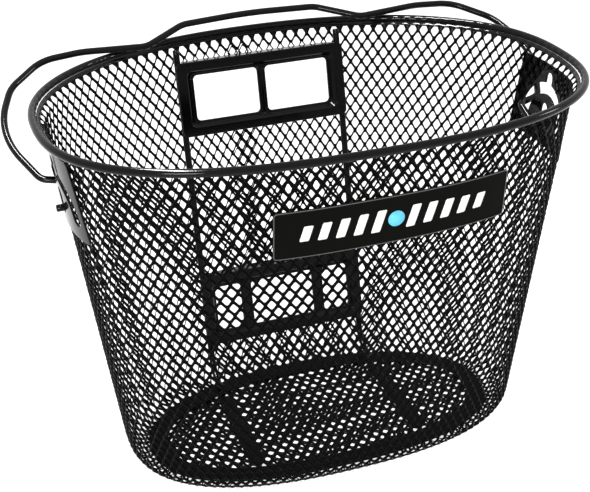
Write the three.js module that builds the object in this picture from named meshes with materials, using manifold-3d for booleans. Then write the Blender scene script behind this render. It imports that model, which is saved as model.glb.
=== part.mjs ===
// Wire-mesh carry basket for a knee scooter: tapered oval wall, rolled rim, folding bail handle,
// two slotted end plates for the handle, and two windowed panels and two rods on the rear wall.
// Millimetres. +Z up, X along the long side, -Y the front. The origin is under the middle of the floor.
// The mesh sheets are plain thin solids here, as thick as the woven strands stand.
import * as THREE from 'three';
import { mergeVertices } from 'three/addons/utils/BufferGeometryUtils.js';
import Module from 'manifold-3d';

const wasm = await Module();
wasm.setup();

// ---- driving dimensions ----
const GAP = 0.3; // between pieces that touch
const SHEET = 1.6; // how thick the mesh stands, strand over strand
const PLATE = 1.5; // sheet steel of the plates

const RIM_HEIGHT = 252.6;
const RIM_RADIUS = 2.6;
const RIM_OUTLINE = { halfLength: 175, front: 117.4, rear: 131.5, frontPower: 2.6, rearPower: 2.2 };
const RIM_OVERHANG = 6.1; // rim centreline outside the wall
const TURN_RADIUS = 17.3; // wall to floor
const BASE_OUTLINE = { halfLength: 140.7, front: 82.4, rear: 81.6, frontPower: 2.45, rearPower: 2.12 };
const TOP_OUTLINE = {
  ...RIM_OUTLINE,
  halfLength: RIM_OUTLINE.halfLength - RIM_OVERHANG,
  front: RIM_OUTLINE.front - RIM_OVERHANG,
  rear: RIM_OUTLINE.rear - RIM_OVERHANG,
};
const WALL_TOP = 245.6; // the edge strip takes over from here
const STRIP_TOP = 250.2;
const STRIP_FLARE = 2.6; // how far the strip leans out to the rim

const RING_OUTER = -15; // floor ring, measured inwards from the wall's foot
const RING_INNER = -29;
const RING_THICKNESS = 1.2;
const FLOOR_STRAP_WIDTH = 11;
const STRAP_END_GAP = 3; // from a floor strap's end to the ring

const ROD_RADIUS = 2.3; // handle and rear rods
const ROD_SPACING = 60; // each rear rod's X
const ROD_TOP = 249;
const ROD_FLOOR_OVERLAP = 1; // how far a rear rod's foot stops short of the ring's inner edge
const FACET_ALLOWANCE = 0.2; // keeps a round rod clear of the wall's flat facets

const PANEL_LENGTH = 124.6;
const PANEL_SHEET = 1.2;
const PANEL_CORNER = 4;
const PANEL_CLEARANCE = 0.4; // between a panel and the rods behind it
const ROD_CHANNEL = 2 * ROD_RADIUS + 1.6; // notch in a panel's edges where a rod passes
const TRAY_MARGIN = 7; // panel's end to tray
const TRAY_DEPTH = 3.5;
const TRAY_SLOPE = 3; // how far the tray's sides lean in
const WINDOW_CORNER = 3;
const WINDOW_LIP = 1.2;
const LIP_STAND = 1.3; // how far a window's lip stands out of the tray
const MESH_MARGIN = 2; // the mesh is cut back this far above a window
const MESH_DROP = 8; // and this far below it, to keep the view down clear
const UPPER_PANEL = {
  middle: 214.7, height: 53.4, trayMiddle: 0.2, trayHeight: 41,
  windows: [{ x: -26.6, width: 47.2 }, { x: 26.6, width: 47.2 }],
  windowHeight: 32.6,
};
const LOWER_PANEL = {
  middle: 58.2, height: 54.4, trayMiddle: -0.6, trayHeight: 42,
  windows: [{ x: -42.2, width: 19.6 }, { x: 0, width: 48 }, { x: 42.2, width: 19.6 }],
  windowHeight: 34.4,
};

// The handle's hinge line, a little askew: lower and further forward at its left end.
const HINGE = { y: -10, z: 203.4, yaw: 1, roll: -0.2 }; // angles in degrees
const HINGE_END = 165; // X where the hinge line meets each end plate
const SLOT_RADIUS = 22.8; // arc slot
const SLOT_WIDTH = 7.6;
const SLOT_RISE = 0.8; // slot centres above the hinge line: the pegs rest low in their loose slots
const UPRIGHT_RISE = 9.2; // the upright slot's length, centre to centre
const NOTCH_RISE = 7.6; // and the notch's, up from the arc slot's crown
const PLATE_Y = -8;
const END_PLATE = { bottom: 190, top: 244, bottomHalf: 36.8, topHalf: 34, corner: 3 };
const FIXING_HOLE = { away: 28.5, z: 207.4, radius: 1.1 };
const CUTOUT_MARGIN = 2.5; // the mesh is cut back this far round the slots
const CUTOUT_FOOT = 6; // and this far below the hinge line
const FOLD_TILT = 24.6; // degrees above level, resting back on the rim

const LABEL = { x: 13.5, z: 204.7, length: 149, height: 32, corner: 2.5, thickness: 1.5 };

// ---- fineness of round shapes ----
const OVAL_STEPS = 72;
const RIM_SIDES = 10;
const TURN_STEPS = 4;
const HANDLE_STEP = 4;
const REAR_ROD_STEP = 10;

// ---- reach of the cutting solids, past anything that they cut ----
const END_NEAR = 140;
const END_FAR = 200;
const END_REACH = END_FAR - END_NEAR;
const PAN_DEPTH = 30;
const BEYOND_WALL = 40;
const LABEL_NEAR = 60;
const LABEL_REACH = 80;
const REAR_NEAR = 40;
const REAR_REACH = 120;
const SLIVER = 0.01; // a cut starts this far outside the face that it opens

// ---- finishes ----
function finish(color, roughness, metalness) {
  return new THREE.MeshStandardMaterial({ color, roughness, metalness });
}
const meshBlack = () => finish(0x0c0c0d, 0.45, 0.1);
const glossBlack = () => finish(0x0a0a0b, 0.18, 0.1);
const labelBlack = () => finish(0x111214, 0.4, 0);

const basket = new THREE.Group();

function place(name, geometry, material, parent = basket) {
  const mesh = new THREE.Mesh(geometry, material);
  mesh.name = name;
  parent.add(mesh);
  return mesh;
}

// ---- booleans ----
function toSolid(geometry) {
  const bare = geometry.clone();
  bare.deleteAttribute('normal');
  bare.deleteAttribute('uv');
  const merged = mergeVertices(bare, 1e-4);
  return new wasm.Manifold(new wasm.Mesh({
    numProp: 3,
    vertProperties: Float32Array.from(merged.attributes.position.array),
    triVerts: Uint32Array.from(merged.index.array),
  }));
}

function toGeometry(solid) {
  const mesh = solid.getMesh();
  const geometry = new THREE.BufferGeometry();
  geometry.setAttribute('position', new THREE.BufferAttribute(mesh.vertProperties, 3));
  geometry.setIndex(new THREE.BufferAttribute(mesh.triVerts, 1));
  geometry.computeVertexNormals();
  return geometry;
}

// ---- the oval wall ----
// A point of an outline whose front and rear halves each bulge by their own power.
function outlinePoint(outline, angle) {
  const c = Math.cos(angle);
  const s = Math.sin(angle);
  const power = s < 0 ? outline.frontPower : outline.rearPower;
  const depth = s < 0 ? outline.front : outline.rear;
  return new THREE.Vector2(
    outline.halfLength * Math.sign(c) * Math.abs(c) ** (2 / power),
    depth * Math.sign(s) * Math.abs(s) ** (2 / power),
  );
}

// The wall's middle surface in plan at a height: straight lines from the foot to the top.
function wallPoint(angle, height) {
  const share = Math.max(0, (height - TURN_RADIUS) / (RIM_HEIGHT - TURN_RADIUS));
  return outlinePoint(BASE_OUTLINE, angle).lerp(outlinePoint(TOP_OUTLINE, angle), share);
}

function movedOut(pointAt, angle, outward) {
  const step = 1e-3;
  const along = pointAt(angle + step).sub(pointAt(angle - step)).normalize();
  return pointAt(angle).add(new THREE.Vector2(along.y, -along.x).multiplyScalar(outward));
}

// A closed band all round the basket. Each profile corner is [height, how far outside the outline].
function ovalBand(profile, outlineAt = (height) => (angle) => wallPoint(angle, height)) {
  const positions = [];
  const indices = [];
  const count = profile.length;
  for (let i = 0; i < OVAL_STEPS; i += 1) {
    const angle = (2 * Math.PI * (i + 0.5)) / OVAL_STEPS;
    for (const [height, outward] of profile) {
      const point = movedOut(outlineAt(height), angle, outward);
      positions.push(point.x, point.y, height);
    }
    const here = i * count;
    const next = ((i + 1) % OVAL_STEPS) * count;
    for (let j = 0; j < count; j += 1) {
      const k = (j + 1) % count;
      indices.push(here + j, next + j, next + k, here + j, next + k, here + k);
    }
  }
  const geometry = new THREE.BufferGeometry();
  geometry.setAttribute('position', new THREE.Float32BufferAttribute(positions, 3));
  geometry.setIndex(indices);
  return geometry;
}

// Where the wall's middle surface crosses the upright plane at x. side is 1 at the rear, -1 in front.
function wallY(x, height, side) {
  let low = 0;
  let high = Math.PI;
  for (let i = 0; i < 40; i += 1) {
    const middle = (low + high) / 2;
    if (wallPoint(side * middle, height).x > x) low = middle;
    else high = middle;
  }
  return wallPoint(side * low, height).y;
}

// A slab of wall-shaped sheet between two distances outside the wall's middle surface.
const wallSlab = (bottom, top, inner, outer) => toSolid(ovalBand([
  [bottom, inner], [bottom, outer], [top, outer], [top, inner],
]));

// ---- outlines and prisms ----
function roundedRectangle(x, y, width, height, corner) {
  const left = x - width / 2;
  const right = x + width / 2;
  const bottom = y - height / 2;
  const top = y + height / 2;
  const shape = new THREE.Shape();
  shape.moveTo(left + corner, bottom);
  shape.absarc(right - corner, bottom + corner, corner, -Math.PI / 2, 0);
  shape.absarc(right - corner, top - corner, corner, 0, Math.PI / 2);
  shape.absarc(left + corner, top - corner, corner, Math.PI / 2, Math.PI);
  shape.absarc(left + corner, bottom + corner, corner, Math.PI, 1.5 * Math.PI);
  return shape;
}

function prism(shape, depth, curveSegments = 2) {
  return new THREE.ExtrudeGeometry(shape, { depth, bevelEnabled: false, curveSegments });
}

// A prism whose far end is smaller all round by the slope.
function taperedPrism(width, height, y, depth, slope, corner) {
  const geometry = prism(roundedRectangle(0, 0, width, height, corner), depth);
  const positions = geometry.attributes.position;
  for (let i = 0; i < positions.count; i += 1) {
    if (positions.getZ(i) > depth / 2) {
      positions.setX(i, positions.getX(i) * (1 - (2 * slope) / width));
      positions.setY(i, positions.getY(i) * (1 - (2 * slope) / height));
    }
  }
  return geometry.translate(0, y, 0);
}

// Turns a prism drawn in (Y, Z) so that it runs through an end of the basket along X.
function throughEnd(geometry, side) {
  geometry.applyMatrix4(new THREE.Matrix4().makeBasis(
    new THREE.Vector3(0, 1, 0), new THREE.Vector3(0, 0, 1), new THREE.Vector3(1, 0, 0),
  ));
  geometry.translate(side > 0 ? END_NEAR : -END_FAR, 0, 0);
  return toSolid(geometry);
}

// ---- rods ----
// An arc from one point to another that leaves along the line to the corner between them.
class BendCurve extends THREE.Curve {
  constructor(from, corner, to) {
    super();
    this.from = from;
    this.to = to;
    const one = from.clone().sub(corner).normalize();
    const two = to.clone().sub(corner).normalize();
    const bisector = one.clone().add(two).normalize();
    const half = one.angleTo(two) / 2;
    this.radius = from.distanceTo(corner) * Math.tan(half);
    this.centre = corner.clone().addScaledVector(bisector, this.radius / Math.sin(half));
    this.spoke = from.clone().sub(this.centre);
    this.turn = Math.PI - 2 * half;
    this.axis = this.spoke.clone().cross(to.clone().sub(this.centre)).normalize();
  }

  getPoint(share, target = new THREE.Vector3()) {
    return target.copy(this.spoke).applyAxisAngle(this.axis, share * this.turn).add(this.centre);
  }
}

// Straight lines between points, with an arc at each inner point of [point, radius].
function bentPath(points) {
  const path = new THREE.CurvePath();
  let from = points[0][0];
  for (let i = 1; i < points.length - 1; i += 1) {
    const [corner, radius] = points[i];
    const back = from.clone().sub(corner).normalize();
    const ahead = points[i + 1][0].clone().sub(corner).normalize();
    const reach = radius / Math.tan(back.angleTo(ahead) / 2);
    const start = corner.clone().addScaledVector(back, reach);
    const end = corner.clone().addScaledVector(ahead, reach);
    path.add(new THREE.LineCurve3(from, start));
    path.add(new BendCurve(start, corner, end));
    from = end;
  }
  path.add(new THREE.LineCurve3(from, points.at(-1)[0]));
  return path;
}

function rod(path, radius, step) {
  const section = new THREE.Shape();
  section.absarc(0, 0, radius, 0, 2 * Math.PI);
  const steps = Math.round(path.getLength() / step);
  return new THREE.ExtrudeGeometry(section, { steps, extrudePath: path, curveSegments: 4 });
}

// ---- rim, edge strip, wall and floor ----
const rimProfile = Array.from({ length: RIM_SIDES }, (_, i) => {
  const turn = (2 * Math.PI * i) / RIM_SIDES;
  return [RIM_HEIGHT + RIM_RADIUS * Math.sin(turn), RIM_RADIUS * Math.cos(turn)];
});
place('rim_hoop', ovalBand(rimProfile, () => (angle) => outlinePoint(RIM_OUTLINE, angle)), glossBlack());

const half = SHEET / 2;
place('mesh_edge_strip', ovalBand([
  [WALL_TOP + GAP, -half],
  [WALL_TOP + GAP, half],
  [STRIP_TOP, STRIP_FLARE + half],
  [STRIP_TOP, STRIP_FLARE - half],
]), meshBlack());

// The wall turns in to the floor on a quarter circle.
const turnCorner = (radius, i) => {
  const turn = (Math.PI / 2) * (i / TURN_STEPS);
  return [TURN_RADIUS + half - radius * Math.sin(turn), radius * Math.cos(turn) - TURN_RADIUS];
};
const turnRange = Array.from({ length: TURN_STEPS + 1 }, (_, i) => i);
const wallProfile = [
  [WALL_TOP, -half],
  ...turnRange.map((i) => turnCorner(TURN_RADIUS - half, i)),
  ...turnRange.toReversed().map((i) => turnCorner(TURN_RADIUS + half, i)),
  [WALL_TOP, half],
];

// The centre of an end plate's arc slot, at the lower end of its upright slot.
const { degToRad } = THREE.MathUtils;
function slotCentre(side) {
  return {
    y: HINGE.y + side * HINGE_END * Math.tan(degToRad(HINGE.yaw)),
    z: HINGE.z - side * HINGE_END * Math.tan(degToRad(HINGE.roll)) + SLOT_RISE,
  };
}

// The hole in the wall behind an end plate leaves the handle's crank room to swing and lift.
function endCutout(side) {
  const { y, z } = slotCentre(side);
  const reach = SLOT_RADIUS + SLOT_WIDTH / 2 + CUTOUT_MARGIN;
  const shape = new THREE.Shape();
  shape.moveTo(y - reach, z - CUTOUT_FOOT);
  shape.lineTo(y + reach, z - CUTOUT_FOOT);
  shape.absarc(y, z, reach, 0, Math.PI);
  return prism(shape, END_REACH, 6);
}
function notchCutout(side) {
  const { y, z } = slotCentre(side);
  const crown = z + SLOT_RADIUS;
  const top = crown + NOTCH_RISE + SLOT_WIDTH / 2 + CUTOUT_MARGIN / 2;
  const width = SLOT_WIDTH + 2 * CUTOUT_MARGIN;
  return prism(roundedRectangle(y, (crown + top) / 2, width, top - crown, 2), END_REACH);
}

// The mesh is cut away behind a panel's windows.
function windowCutout(panel) {
  const top = panel.middle + panel.trayMiddle + panel.windowHeight / 2 + MESH_MARGIN;
  const height = panel.windowHeight + MESH_MARGIN + MESH_DROP;
  return new THREE.BoxGeometry(PANEL_LENGTH - 2 * TRAY_MARGIN, REAR_REACH, height)
    .translate(0, REAR_NEAR + REAR_REACH / 2, top - height / 2);
}

let wall = toSolid(ovalBand(wallProfile));
for (const panel of [UPPER_PANEL, LOWER_PANEL]) wall = wall.subtract(toSolid(windowCutout(panel)));
for (const side of [-1, 1]) {
  wall = wall.subtract(throughEnd(endCutout(side), side));
  wall = wall.subtract(throughEnd(notchCutout(side), side));
}
place('wall_mesh', toGeometry(wall), meshBlack());

function floorOutline(outward) {
  const points = [];
  for (let i = 0; i < OVAL_STEPS; i += 1) {
    const angle = (2 * Math.PI * (i + 0.5)) / OVAL_STEPS;
    points.push(movedOut((at) => outlinePoint(BASE_OUTLINE, at), angle, outward));
  }
  return new THREE.Shape(points);
}
place('floor_mesh', prism(floorOutline(-TURN_RADIUS - GAP), SHEET), meshBlack());

const RING_BOTTOM = SHEET + 2 * GAP;
const RING_TOP = RING_BOTTOM + RING_THICKNESS;
place('floor_ring', ovalBand([
  [RING_BOTTOM, RING_INNER], [RING_BOTTOM, RING_OUTER], [RING_TOP, RING_OUTER], [RING_TOP, RING_INNER],
]), meshBlack());

for (const [name, side] of [['left', -1], ['right', 1]]) {
  const corner = side * (ROD_SPACING + FLOOR_STRAP_WIDTH / 2);
  const inside = RING_INNER - STRAP_END_GAP;
  const ends = [-1, 1].map((way) => wallY(corner, 0, way) + way * inside);
  const strap = new THREE.BoxGeometry(FLOOR_STRAP_WIDTH, ends[1] - ends[0], RING_THICKNESS)
    .translate(side * ROD_SPACING, (ends[0] + ends[1]) / 2, SHEET + GAP + RING_THICKNESS / 2);
  place(`floor_strap_${name}`, strap, meshBlack());
}

// ---- rear rods ----
// Each runs down the inside of the rear wall, follows its turn and lies over the floor ring.
const rodInset = half + GAP + ROD_RADIUS;
const rodFloor = RING_TOP + GAP + ROD_RADIUS;
function rearRod(side) {
  const x = side * ROD_SPACING;
  const at = (height) => wallY(x, height, 1) - rodInset - FACET_ALLOWANCE;
  const slope = (at(ROD_TOP) - at(TURN_RADIUS)) / (ROD_TOP - TURN_RADIUS);
  const corner = at(ROD_TOP) - slope * (ROD_TOP - rodFloor);
  const end = wallY(x, 0, 1) + RING_INNER + ROD_FLOOR_OVERLAP;
  return rod(bentPath([
    [new THREE.Vector3(x, at(ROD_TOP), ROD_TOP)],
    [new THREE.Vector3(x, corner, rodFloor), TURN_RADIUS],
    [new THREE.Vector3(x, end, rodFloor)],
  ]), ROD_RADIUS, REAR_ROD_STEP);
}
place('rear_rod_left', rearRod(-1), meshBlack());
place('rear_rod_right', rearRod(1), meshBlack());

// ---- windowed rear panels ----
// Drawn flat: x along the basket, y up the wall, z towards the rear. A pan stands over the rods,
// its edges turned back to the wall, and a tray sunk in its face carries the windows.
const panStand = rodInset + ROD_RADIUS + GAP + PANEL_SHEET + PANEL_CLEARANCE; // face to wall's middle
function panelBlock(panel, inset, depth) {
  const outline = roundedRectangle(
    0, 0, PANEL_LENGTH - 2 * inset, panel.height - 2 * inset, PANEL_CORNER - inset,
  );
  return toSolid(prism(outline, depth).translate(0, 0, inset));
}

function panelSolid(panel) {
  let pan = panelBlock(panel, 0, PAN_DEPTH).subtract(panelBlock(panel, PANEL_SHEET, PAN_DEPTH));
  for (const side of [-1, 1]) {
    const channel = new THREE.BoxGeometry(ROD_CHANNEL, 2 * panel.height, PAN_DEPTH);
    pan = pan.subtract(toSolid(channel.translate(side * ROD_SPACING, 0, PANEL_SHEET + PAN_DEPTH / 2)));
  }
  const trayLength = PANEL_LENGTH - 2 * TRAY_MARGIN;
  const { trayMiddle, trayHeight } = panel;
  const tray = taperedPrism(
    trayLength, trayHeight, trayMiddle, TRAY_DEPTH + PANEL_SHEET, TRAY_SLOPE, PANEL_CORNER,
  );
  const hollow = taperedPrism(
    trayLength - 2 * PANEL_SHEET, trayHeight - 2 * PANEL_SHEET, trayMiddle,
    TRAY_DEPTH + SLIVER, TRAY_SLOPE, PANEL_CORNER - PANEL_SHEET,
  ).translate(0, 0, -SLIVER);
  pan = pan.add(toSolid(tray)).subtract(toSolid(hollow));
  for (const window of panel.windows) {
    const hole = (grow, from, to) => toSolid(prism(roundedRectangle(
      window.x, trayMiddle, window.width + 2 * grow, panel.windowHeight + 2 * grow, WINDOW_CORNER + grow,
    ), to - from).translate(0, 0, from));
    pan = pan.add(hole(WINDOW_LIP, TRAY_DEPTH - LIP_STAND, TRAY_DEPTH + PANEL_SHEET / 2));
    pan = pan.subtract(hole(0, 0, PAN_DEPTH));
  }
  return pan;
}

function placePanel(name, panel) {
  const edge = PANEL_LENGTH / 2;
  const low = wallY(edge, panel.middle - panel.height / 2, 1);
  const high = wallY(edge, panel.middle + panel.height / 2, 1);
  const lean = Math.atan2(high - low, panel.height);
  const towardsRear = new THREE.Vector3(0, Math.cos(lean), -Math.sin(lean));
  const upTheWall = new THREE.Vector3(0, Math.sin(lean), Math.cos(lean));
  const geometry = toGeometry(panelSolid(panel));
  geometry.applyMatrix4(new THREE.Matrix4()
    .makeBasis(new THREE.Vector3(-1, 0, 0), upTheWall, towardsRear)
    .setPosition(0, (low + high) / 2 - panStand / Math.cos(lean), panel.middle));
  const beyond = wallSlab(TURN_RADIUS, panel.middle + panel.height, -half - GAP, BEYOND_WALL);
  place(name, toGeometry(toSolid(geometry).subtract(beyond)), glossBlack());
}
placePanel('upper_rear_panel', UPPER_PANEL);
placePanel('lower_rear_panel', LOWER_PANEL);

// ---- end plates ----
// Curved sheet on the outside of each end: an arc slot with a notch at its crown, and an upright slot
// as high as the handle lifts.
function plateOutline() {
  const middle = (END_PLATE.bottom + END_PLATE.top) / 2;
  const height = END_PLATE.top - END_PLATE.bottom;
  const outline = roundedRectangle(0, middle, 2 * END_PLATE.bottomHalf, height, END_PLATE.corner);
  const geometry = prism(outline, END_REACH);
  const positions = geometry.attributes.position;
  for (let i = 0; i < positions.count; i += 1) {
    const rise = (positions.getY(i) - END_PLATE.bottom) / height;
    const share = 1 - rise * (1 - END_PLATE.topHalf / END_PLATE.bottomHalf);
    positions.setX(i, PLATE_Y + positions.getX(i) * share);
  }
  return geometry;
}

function arcSlot({ y, z }) {
  const halfWidth = SLOT_WIDTH / 2;
  const shape = new THREE.Shape();
  shape.absarc(y, z, SLOT_RADIUS + halfWidth, 0, Math.PI);
  shape.absarc(y - SLOT_RADIUS, z, halfWidth, Math.PI, 2 * Math.PI);
  shape.absarc(y, z, SLOT_RADIUS - halfWidth, Math.PI, 0, true);
  shape.absarc(y + SLOT_RADIUS, z, halfWidth, Math.PI, 2 * Math.PI);
  return prism(shape, END_REACH, 8);
}

// An upright round-ended slot in which the rod rises from a height.
function liftSlot(y, from, rise) {
  const outline = roundedRectangle(
    y, from + rise / 2, SLOT_WIDTH, rise + SLOT_WIDTH, SLOT_WIDTH / 2 - SLIVER,
  );
  return prism(outline, END_REACH, 4);
}

function fixingHole(way) {
  const shape = new THREE.Shape();
  shape.absarc(PLATE_Y + way * FIXING_HOLE.away, FIXING_HOLE.z, FIXING_HOLE.radius, 0, 2 * Math.PI);
  return prism(shape, END_REACH, 4);
}

function endPlate(side) {
  const centre = slotCentre(side);
  const inner = half + GAP;
  let plate = wallSlab(END_PLATE.bottom - PLATE, END_PLATE.top + PLATE, inner, inner + PLATE)
    .intersect(throughEnd(plateOutline(), side));
  const cuts = [
    arcSlot(centre),
    liftSlot(centre.y, centre.z, UPRIGHT_RISE),
    liftSlot(centre.y, centre.z + SLOT_RADIUS, NOTCH_RISE),
    fixingHole(-1),
    fixingHole(1),
  ];
  for (const cut of cuts) plate = plate.subtract(throughEnd(cut, side));
  return plate;
}
place('end_plate_left', toGeometry(endPlate(-1)), glossBlack());
place('end_plate_right', toGeometry(endPlate(1)), glossBlack());

// ---- carry handle ----
// One bent rod, drawn flat: x along the hinge line, y away from it. Half of it as [x, y, bend radius],
// from a peg's tip through the crank inside the plate and the arm through the arc slot to the grip.
const HANDLE_HALF = [
  [170, 0, 0],
  [157.8, 0, 4],
  [157.8, 20.6, 4],
  [174, 25.4, 8],
  [192.5, 69, 65],
  [177, 108.5, 30.5],
  [152.5, 130.5, 31],
  [124.5, 133.5, 60],
  [79.5, 130, 14],
  [49.5, 147, 18],
  [0, 150, 300],
];
function handlePath() {
  const flat = ([x, y, radius], side) => [new THREE.Vector3(side * x, y, 0), radius];
  return bentPath([
    ...HANDLE_HALF.map((corner) => flat(corner, -1)),
    ...HANDLE_HALF.slice(0, -1).toReversed().map((corner) => flat(corner, 1)),
  ]);
}
const hinge = new THREE.Group();
hinge.position.set(0, HINGE.y, HINGE.z);
hinge.rotation.set(0, degToRad(HINGE.roll), degToRad(HINGE.yaw));
basket.add(hinge);
const handle = place('carry_handle', rod(handlePath(), ROD_RADIUS, HANDLE_STEP), glossBlack(), hinge);
handle.rotation.x = degToRad(FOLD_TILT);

// ---- label plate ----
function labelPlate() {
  const outline = roundedRectangle(LABEL.x, LABEL.z, LABEL.length, LABEL.height, LABEL.corner);
  const face = prism(outline, LABEL_REACH).rotateX(Math.PI / 2).translate(0, -LABEL_NEAR, 0);
  const inner = half + GAP;
  return wallSlab(LABEL.z - LABEL.height, LABEL.z + LABEL.height, inner, inner + LABEL.thickness)
    .intersect(toSolid(face));
}
place('label_plate', toGeometry(labelPlate()), labelBlack());

export default basket;
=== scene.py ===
"""Looks of the mesh carry basket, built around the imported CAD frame.

Lengths are worked out in millimetres, in the CAD's own frame, and turned to metres when a mesh is made.
+Z is up, X runs along the long side and -Y is the front. Every piece replaces the CAD node it stands for.
"""
import math

import bpy
import numpy as np
from mathutils import Matrix, Vector


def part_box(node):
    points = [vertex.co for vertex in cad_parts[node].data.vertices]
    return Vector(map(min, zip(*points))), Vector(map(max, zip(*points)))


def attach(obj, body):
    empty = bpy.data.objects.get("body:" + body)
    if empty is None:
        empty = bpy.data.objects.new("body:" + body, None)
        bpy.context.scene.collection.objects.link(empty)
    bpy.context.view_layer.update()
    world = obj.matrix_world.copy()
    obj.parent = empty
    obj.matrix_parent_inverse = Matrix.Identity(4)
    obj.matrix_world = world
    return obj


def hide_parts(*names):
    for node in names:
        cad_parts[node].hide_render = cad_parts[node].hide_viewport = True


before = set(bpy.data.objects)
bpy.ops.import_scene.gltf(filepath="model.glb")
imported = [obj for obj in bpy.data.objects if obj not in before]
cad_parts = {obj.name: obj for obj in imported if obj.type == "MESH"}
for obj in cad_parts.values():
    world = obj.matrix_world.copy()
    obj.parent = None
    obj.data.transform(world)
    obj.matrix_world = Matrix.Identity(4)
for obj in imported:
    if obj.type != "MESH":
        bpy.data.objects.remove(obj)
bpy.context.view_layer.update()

MM = 0.001

# ---- sizes that the CAD part is built from ----
SHEET = 1.6
HALF = SHEET / 2  # from the wall's middle surface to its face
GAP = 0.3  # left between parts that touch in the real basket
PLATE = 1.5  # thickness of the end plates
RIM_HEIGHT = 252.6
RIM_RADIUS = 2.6
RIM_OVERHANG = 6.1  # from the wall's own line out to the rim's middle
RIM_OUTLINE = {"half_length": 175, "front": 117.4, "rear": 131.5, "front_power": 2.6, "rear_power": 2.2}
BASE_OUTLINE = {"half_length": 140.7, "front": 82.4, "rear": 81.6, "front_power": 2.45, "rear_power": 2.12}
TOP_OUTLINE = {
    **RIM_OUTLINE,
    "half_length": RIM_OUTLINE["half_length"] - RIM_OVERHANG,
    "front": RIM_OUTLINE["front"] - RIM_OVERHANG,
    "rear": RIM_OUTLINE["rear"] - RIM_OVERHANG,
}
TURN_RADIUS = 17.3  # of the wall's turn into the floor
WALL_TOP = 245.6
STRIP_TOP = 250.2
STRIP_FLARE = 2.6  # how far the mesh's edge leans out between those two heights
RING_OUTER = -15  # the floor ring's edges, outwards from the wall's line
RING_INNER = -29
ROD_RADIUS = 2.3
ROD_SPACING = 60
ROD_TOP = 249
ROD_CLEARANCE = 0.2
PANEL_LENGTH = 124.6
PANEL_SHEET = 1.2
PANEL_CORNER = 4
PANEL_CLEARANCE = 0.4
FLANGE_CLEARANCE = 0.8
FLANGE_BEND = 5  # depth from which a flange is stretched to reach the wall
FLANGE_BACK = 9  # its depth before that
TRAY_MARGIN = 7
TRAY_DEPTH = 3.5
TRAY_SLOPE = 3
WINDOW_CORNER = 3
WINDOW_LIP = 1.2
LIP_STAND = 1.3
UPPER_PANEL = {
    "middle": 214.7, "height": 53.4, "tray_middle": 0.2, "tray_height": 41,
    "windows": [(-26.6, 47.2), (26.6, 47.2)], "window_height": 32.6,
}
LOWER_PANEL = {
    "middle": 58.2, "height": 54.4, "tray_middle": -0.6, "tray_height": 42,
    "windows": [(-42.2, 19.6), (0, 48), (42.2, 19.6)], "window_height": 34.4,
}
HINGE_Y = -10
HINGE_Z = 203.4
HINGE_YAW = math.radians(1)
HINGE_ROLL = math.radians(-0.2)
HINGE_END = 165  # x at which the hinge line meets the end plates
FOLD_TILT = math.radians(24.6)  # of the handle at rest
SLOT_RADIUS = 22.8
SLOT_WIDTH = 7.6
SLOT_RISE = 0.8
UPRIGHT_RISE = 9.2
NOTCH_RISE = 7.6
PLATE_Y = -8
END_PLATE = {"bottom": 190, "top": 244, "bottom_half": 36.8, "top_half": 34, "corner": 3}
FIXING_HOLE = {"away": 28.5, "z": 207.4, "radius": 1.1}
CUTOUT_RADIUS = SLOT_RADIUS + SLOT_WIDTH / 2 + 2.5
CUTOUT_FOOT = 6
LABEL = {"x": 13.5, "z": 204.7, "length": 149, "height": 32, "corner": 2.5, "thickness": 1.5}
# The handle's half as (x, y, bend radius) in its own flat plane, from a peg's tip to the grip's middle.
HANDLE_HALF = [
    (170, 0, 0),
    (157.8, 0, 4),
    (157.8, 20.6, 4),
    (174, 25.4, 8),
    (192.5, 69, 65),
    (177, 108.5, 30.5),
    (152.5, 130.5, 31),
    (124.5, 133.5, 60),
    (79.5, 130, 14),
    (49.5, 147, 18),
    (0, 150, 300),
]

# ---- the expanded mesh ----
COLUMNS = 114  # diamonds round the basket
COLUMN_PHASE = 0.3  # the first diamond's centre lies that many columns on from the right end
FIRST_ROW = 246.5  # height of the top row's centres
ROWS_DOWN = 22.6  # from the top row's centres to the wall's lower edge, in rows
TOP_LIMIT = 0.36  # rows above the top row's centres where the hem closes the mesh
STRAND_HALF = 0.8  # half a strand's width
CREST = 0.4  # half a strand's thickness
LOUVRE = 1.0  # how far a strand's edges tilt out of the sheet
FLOOR_COLUMN = 8.0  # width of the floor's diamonds
FLOOR_ROW = 11.3  # and their length
FLOOR_STRAND_HALF = 1.3
FLOOR_LOUVRE = -1.1


# ---- the oval wall ----
def outline_at(shape, angle):
    """Points of an outline whose front and rear halves each bulge by their own power."""
    c = np.cos(angle)
    s = np.sin(angle)
    power = np.where(s < 0, shape["front_power"], shape["rear_power"])
    depth = np.where(s < 0, shape["front"], shape["rear"])
    x = shape["half_length"] * np.sign(c) * np.abs(c) ** (2 / power)
    y = depth * np.sign(s) * np.abs(s) ** (2 / power)
    return np.stack([x, y], -1)


def wall_share(height):
    return np.clip((height - TURN_RADIUS) / (RIM_HEIGHT - TURN_RADIUS), 0, None)


def wall_plan(angle, height):
    """The wall's middle surface in plan at a height."""
    share = wall_share(np.asarray(height, float))[..., None]
    return outline_at(BASE_OUTLINE, angle) * (1 - share) + outline_at(TOP_OUTLINE, angle) * share


def outward_of(along):
    """The plan direction that points out of the basket, from the anticlockwise tangent."""
    out = np.stack([along[..., 1], -along[..., 0]], -1)
    return out / np.linalg.norm(out, axis=-1, keepdims=True)


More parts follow.
